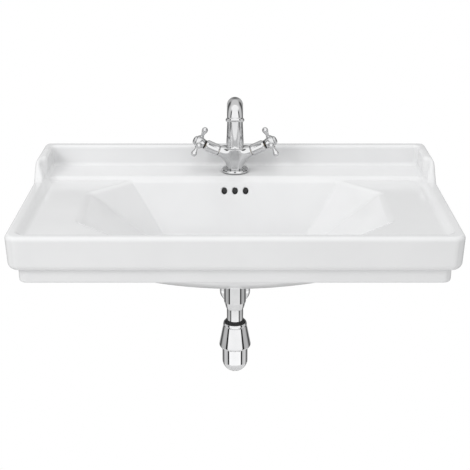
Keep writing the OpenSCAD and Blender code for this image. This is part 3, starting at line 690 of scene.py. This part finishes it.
def make_valve(side, name):
    place = on_valve(side)
    across = lines_between((-34.5, -12, 0.75), (-12, 12, 0.6), (12, 34.5, 0.75))
    lines = (across + 0.013, across + 0.017, lines_between((68.5, 89.5, 0.6)) + 0.011)
    placed_field(name + "_cross_handle", cross_handle_field, lines, place, name + "_valve", "chrome",
                 name + "_handle")
    lathe(name + "_cap_dome", [(0, 88, 0), (9.3, 88, 0.3), (9.3, 89.2, 0.6), (7.2, 91.8, 3), (4, 93.2, 3),
                               (0, 93.6, 0)],
          place, name + "_valve", "chrome", name + "_index_cap", segments=64)
    lathe(name + "_bonnet_sleeve", [(4.4, 36.4, 0.3), (10.2, 36.4, 0.8), (11.6, 39, 1.2), (11.6, 62, 1.2),
                                    (9.8, 65.7, 0.8), (4.4, 65.7, 0.3)],
          place, "fixed_parts", "chrome", name + "_bonnet")
    lathe(name + "_gap_ring", [(4.2, 66.4, 0.2), (9, 66.4, 0.5), (9, 69, 0.5), (4.2, 69, 0.2)],
          place, name + "_valve", "black_plastic", name + "_spindle_ring", segments=64)


def make_tap():
    make_tap_body()
    make_spout()
    for side, name in ((-1, "hot"), (1, "cold")):
        make_valve(side, name)
    lathe("tap_base_rim", [(15.2, 1.5, 0.3), (28.2, 1.5, 0.5), (28.5, 3.8, 1.2), (25.5, 6.5, 1.5),
                           (15.2, 6.5, 0.3)],
          AT_TAP, "fixed_parts", "chrome", "tap_base_ring")
    lathe("aerator_ring", [(11, -6, 0.3), (16.2, -6, 0.5), (18, -3.5, 1.6), (18, -1, 1.2),
                           (16.6, 1.8, 1.2), (11, 1.8, 0.5)],
          at_outlet(), "swivel_spout", "chrome", "aerator_housing")


# ---------------------------------------------------------------- waste and trap
AT_DRAIN = shift(0, DRAIN_Y, 0)
TUBE = 16.2
OUTLET_Z = RIM - 298
GLAND_TOP = RIM - 254
GLAND_END = RIM - 259.5
BELL_TOP = RIM - 266.5
BELL_WIDE = RIM - 307
BELL_TOP_R = 23.4
BELL_SLOPE = 0.19
CUP_R = 25.5
CUP_ROUND = RIM - 342
TUBE_R_FIT = 16.0


def trap_body_field(x, y, z):
    """Bell with a rounded shoulder and a socket for the outlet pipe at the back."""
    q = np.hypot(x, y)
    down = BELL_TOP - z
    bell = both((q - BELL_TOP_R - BELL_SLOPE * down) / math.hypot(1, BELL_SLOPE), z - BELL_TOP, 0.8)
    bell = both(bell, BELL_WIDE - 5.5 - z, 5)
    lip = both(q - 26.3, np.abs(z - (BELL_WIDE - 4)) - 4, 1.0)
    whole = either(bell, lip, 1.0)
    whole = either(whole, both(np.hypot(x, z - OUTLET_Z) - 18, np.abs(y - 18) - 15, 1.2), 3)
    whole = without(whole, both(q - TUBE_R_FIT, BELL_TOP - 4 - z), 0.3)
    whole = without(whole, both(q - 25.6, z - (BELL_WIDE - 5)), 0.3)
    return without(whole, both(np.hypot(x, z - OUTLET_Z) - TUBE_R_FIT, 26 - y), 0.3)


def make_trap():
    lathe("tail_nut_sleeve", [(16.3, RIM - 229, 0.3), (17.2, RIM - 229, 0.4), (18.1, RIM - 226.5, 0.8),
                              (21.1, RIM - 215.5, 0.5), (21.65, RIM - 214, 0.5), (21.65, RIM - 175, 0.8),
                              (21, RIM - 174.5, 0.3), (16.3, RIM - 174.5, 0.3)],
          AT_DRAIN, "fixed_parts", "chrome", "tail_nut")
    lathe("inlet_tube", [(15, RIM - 345, 0.2), (TUBE, RIM - 345, 0.3), (TUBE, RIM - 205, 0.3),
                         (15, RIM - 205, 0.2)],
          AT_DRAIN, "fixed_parts", "chrome", "trap_inlet_tube")
    lathe("gland_cone", [(TUBE, GLAND_END, 0.2), (22.1, GLAND_END, 0.4), (17.4, GLAND_TOP, 0.6),
                         (TUBE, GLAND_TOP, 0.2)],
          AT_DRAIN, "fixed_parts", "black_plastic", "trap_inlet_gland")
    lathe("collar_nut_ring", [(TUBE, BELL_TOP, 0.2), (23.2, BELL_TOP, 0.6),
                              (23.6, (BELL_TOP + GLAND_END) / 2, 1.0),
                              (22.3, GLAND_END - 0.05, 0.6), (TUBE, GLAND_END - 0.05, 0.2)],
          AT_DRAIN, "fixed_parts", "chrome", "trap_collar_nut")
    lines = (lines_between((-33, 33, 1.0)) + 0.013, lines_between((-33, 35, 1.0)) + 0.011,
             lines_between((BELL_WIDE - 10, BELL_TOP + 1, 0.9)))
    placed_field("trap_bell", trap_body_field, lines, AT_DRAIN, "fixed_parts", "chrome", "trap_body")
    dome = [(CUP_R * math.cos(a), CUP_ROUND - (CUP_R - 0.3) * math.sin(a), 1.0)
            for a in (math.radians(7.5 * k) for k in range(1, 12))]
    cup = [(0, CUP_ROUND - CUP_R + 0.3, 0), *dome[::-1], (CUP_R, RIM - 313, 0.6), (0, RIM - 313, 0)]
    lathe("trap_cup_shell", cup, AT_DRAIN, "fixed_parts", "chrome", "trap_cup")
    to_wall = shift(0, DRAIN_Y, OUTLET_Z) @ turn("X", -90)
    reach = -DRAIN_Y
    lathe("outlet_union", [(16.4, 33.2, 0.3), (20.2, 33.2, 0.8), (20.5, 36, 1), (20.5, 44, 1.2),
                           (18.2, 48, 1), (16.4, 48, 0.3)], to_wall, "fixed_parts", "chrome", "outlet_nut")
    lathe("outlet_tube", [(15, 26, 0.2), (TUBE, 26, 0.3), (TUBE, reach - 0.2, 0.15), (16, reach, 0.15),
                          (16, reach + 40, 0.4), (15, reach + 40, 0.2)],
          to_wall, "fixed_parts", "chrome", "outlet_pipe")
    at_wall = shift(0, 0, OUTLET_Z) @ turn("X", 90)
    lathe("rosette_dish", [(16.4, 0, 0.3), (33.5, 0, 0.4), (33.5, 1.6, 0.8), (31, 5.5, 4), (22, 9.5, 5),
                           (18.6, 12, 1), (16.4, 12, 0.3)], at_wall, "fixed_parts", "chrome", "wall_rosette")
    at_floor = shift(0, DRAIN_Y, FLOOR)
    lathe("plug_dome", [(0, -8.9, 0), (5, -8.9, 0.4), (5, 4.35, 0.6), (26.8, 4.35, 0.3), (27.8, 5.4, 0.5),
                        (25.5, 6.8, 2), (12, 7.4, 8), (0, 7.5, 0)], at_floor, "plug", "chrome", "waste_plug")


# ---------------------------------------------------------------- stage
def area_light(name, place, target, size, power):
    light = bpy.data.lights.new(name, "AREA")
    light.shape = "RECTANGLE"
    light.size, light.size_y = size
    light.energy = power
    lamp = bpy.data.objects.new(name, light)
    lamp.location = place
    lamp.rotation_euler = (Vector(target) - Vector(place)).to_track_quat("-Z", "Y").to_euler()
    bpy.context.scene.collection.objects.link(lamp)
    lamp.visible_camera = False
    lamp.visible_glossy = False


def make_floor():
    mesh = bpy.data.meshes.new("studio_floor")
    right, front, back, low = 0.7, -0.9, 0.15, -0.85
    mesh.from_pydata([(-right, front, low), (right, front, low), (right, back, low), (-right, back, low)],
                     [], [(0, 1, 2, 3)])
    material, nodes, links, shader = new_material("studio_floor")
    links.new(two_tone(nodes, links, noise(nodes, links, 2, 3), (0.9, 0.9, 0.9), (0.93, 0.93, 0.93)),
              shader.inputs["Base Color"])
    shader.inputs["Roughness"].default_value = 0.9
    shader.inputs["Emission Color"].default_value = (1, 1, 1, 1)
    shader.inputs["Emission Strength"].default_value = 0.2
    mesh.materials.append(material)
    floor = bpy.data.objects.new("studio_floor", mesh)
    bpy.context.scene.collection.objects.link(floor)


def make_world():
    """White studio; its darker bands, seen only in reflections, draw the dark lines on the chrome."""
    world = bpy.data.worlds.new("studio")
    bpy.context.scene.world = world
    world.use_nodes = True
    nodes, links = world.node_tree.nodes, world.node_tree.links
    room = nodes["Background"]
    place = nodes.new("ShaderNodeTexCoord")
    split = nodes.new("ShaderNodeSeparateXYZ")
    links.new(place.outputs["Generated"], split.inputs["Vector"])

    def maths_on(kind, *values):
        return maths(nodes, links, kind, *values)

    x, y, z = (split.outputs[axis] for axis in "XYZ")
    flat = maths_on("SQRT", maths_on("ADD", maths_on("MULTIPLY", x, x), maths_on("MULTIPLY", y, y)))
    facing = maths_on("DIVIDE", y, maths_on("ADD", flat, 0.0001))
    # What reflections see: bands by direction, from the viewer's side (0) round to the wall (1)
    ramp = nodes.new("ShaderNodeValToRGB")
    links.new(maths_on("ADD", maths_on("MULTIPLY", facing, 0.5), 0.5), ramp.inputs["Fac"])
    stops = ((0.0, 0.97), (0.17, 1.0), (0.2, 0.95), (0.215, 0.02), (0.31, 0.02), (0.335, 0.5), (0.5, 0.58),
             (0.62, 0.6), (0.7, 0.4), (0.78, 0.08), (0.87, 0.08), (0.92, 0.4), (0.97, 0.4), (1.0, 0.15))
    elements = ramp.color_ramp.elements
    elements[0].position, elements[-1].position = stops[0][0], stops[-1][0]
    for position, _ in stops[1:-1]:
        elements.new(position)
    for element, (_, tone) in zip(elements, stops):
        element.color = (tone, tone, tone, 1)
    mix = nodes.new("ShaderNodeMix")
    mix.data_type = "RGBA"
    links.new(map_range(nodes, links, z, 0.55, 0.75), mix.inputs["Factor"])
    links.new(ramp.outputs["Color"], mix.inputs["A"])
    links.new(map_range(nodes, links, facing, -0.25, 0.25, 0.95, 0.6), mix.inputs["B"])
    links.new(mix.outputs["Result"], room.inputs["Color"])
    steep = map_range(nodes, links, z, -0.442, -0.424, 1.0, 0.72)
    level = map_range(nodes, links, z, -0.25, -0.12, 1.55, 2.0)
    links.new(maths_on("MULTIPLY", steep, level), room.inputs["Strength"])
    # What the camera sees behind the object
    backdrop = nodes.new("ShaderNodeBackground")
    backdrop.inputs["Color"].default_value = (1, 1, 1, 1)
    backdrop.inputs["Strength"].default_value = 1.0
    # What lights the object: even, weaker from below, a little stronger from the viewer's side
    soft = nodes.new("ShaderNodeBackground")
    soft.inputs["Color"].default_value = (1, 1, 1, 1)
    below = map_range(nodes, links, z, -0.9, -0.5, 0.3, 0.72)
    links.new(maths_on("SUBTRACT", below, maths_on("MULTIPLY", y, 0.08)), soft.inputs["Strength"])
    rays = nodes.new("ShaderNodeLightPath")
    shine = nodes.new("ShaderNodeMixShader")
    links.new(rays.outputs["Is Glossy Ray"], shine.inputs["Fac"])
    links.new(soft.outputs["Background"], shine.inputs[1])
    links.new(room.outputs["Background"], shine.inputs[2])
    choose = nodes.new("ShaderNodeMixShader")
    links.new(rays.outputs["Is Camera Ray"], choose.inputs["Fac"])
    links.new(shine.outputs["Shader"], choose.inputs[1])
    links.new(backdrop.outputs["Background"], choose.inputs[2])
    links.new(choose.outputs["Shader"], nodes["World Output"].inputs["Surface"])


CAMERA_TILT = 21.2                           # degrees below the horizon
FOCAL = 1052 / 470                           # focal length over image width
SENSOR = 36                                  # image width, in mm
DISTANCE = 1.8075                            # to the front rim, along the view
RISE = 1.5 / 470 / FOCAL * DISTANCE          # shift that centres the object in the frame


def make_camera():
    data = bpy.data.cameras.new("camera")
    data.sensor_width = SENSOR
    data.lens = FOCAL * SENSOR
    data.clip_end = 100
    camera = bpy.data.objects.new("camera", data)
    tilt = math.radians(CAMERA_TILT)
    ahead = Vector((0, math.cos(tilt), -math.sin(tilt)))
    up = Vector((0, math.sin(tilt), math.cos(tilt)))
    rim_edge = Vector((0, (FRONT + 8) * MM, RIM * MM))
    camera.location = rim_edge - DISTANCE * ahead + RISE * up
    camera.rotation_euler = (math.radians(90) - tilt, 0, 0)
    bpy.context.scene.collection.objects.link(camera)
    bpy.context.scene.camera = camera


finish_cad_nodes()
make_camera()
make_basin()
make_tap()
make_trap()
make_floor()
make_world()
area_light("key", (-2.0, -2.2, 1.7), (0, -0.25, 0), (1.0, 1.0), 28)
area_light("top", (0.2, -0.4, 2.4), (0, -0.2, 0), (1.6, 1.0), 11)
bpy.context.scene.view_settings.view_transform = "Standard"
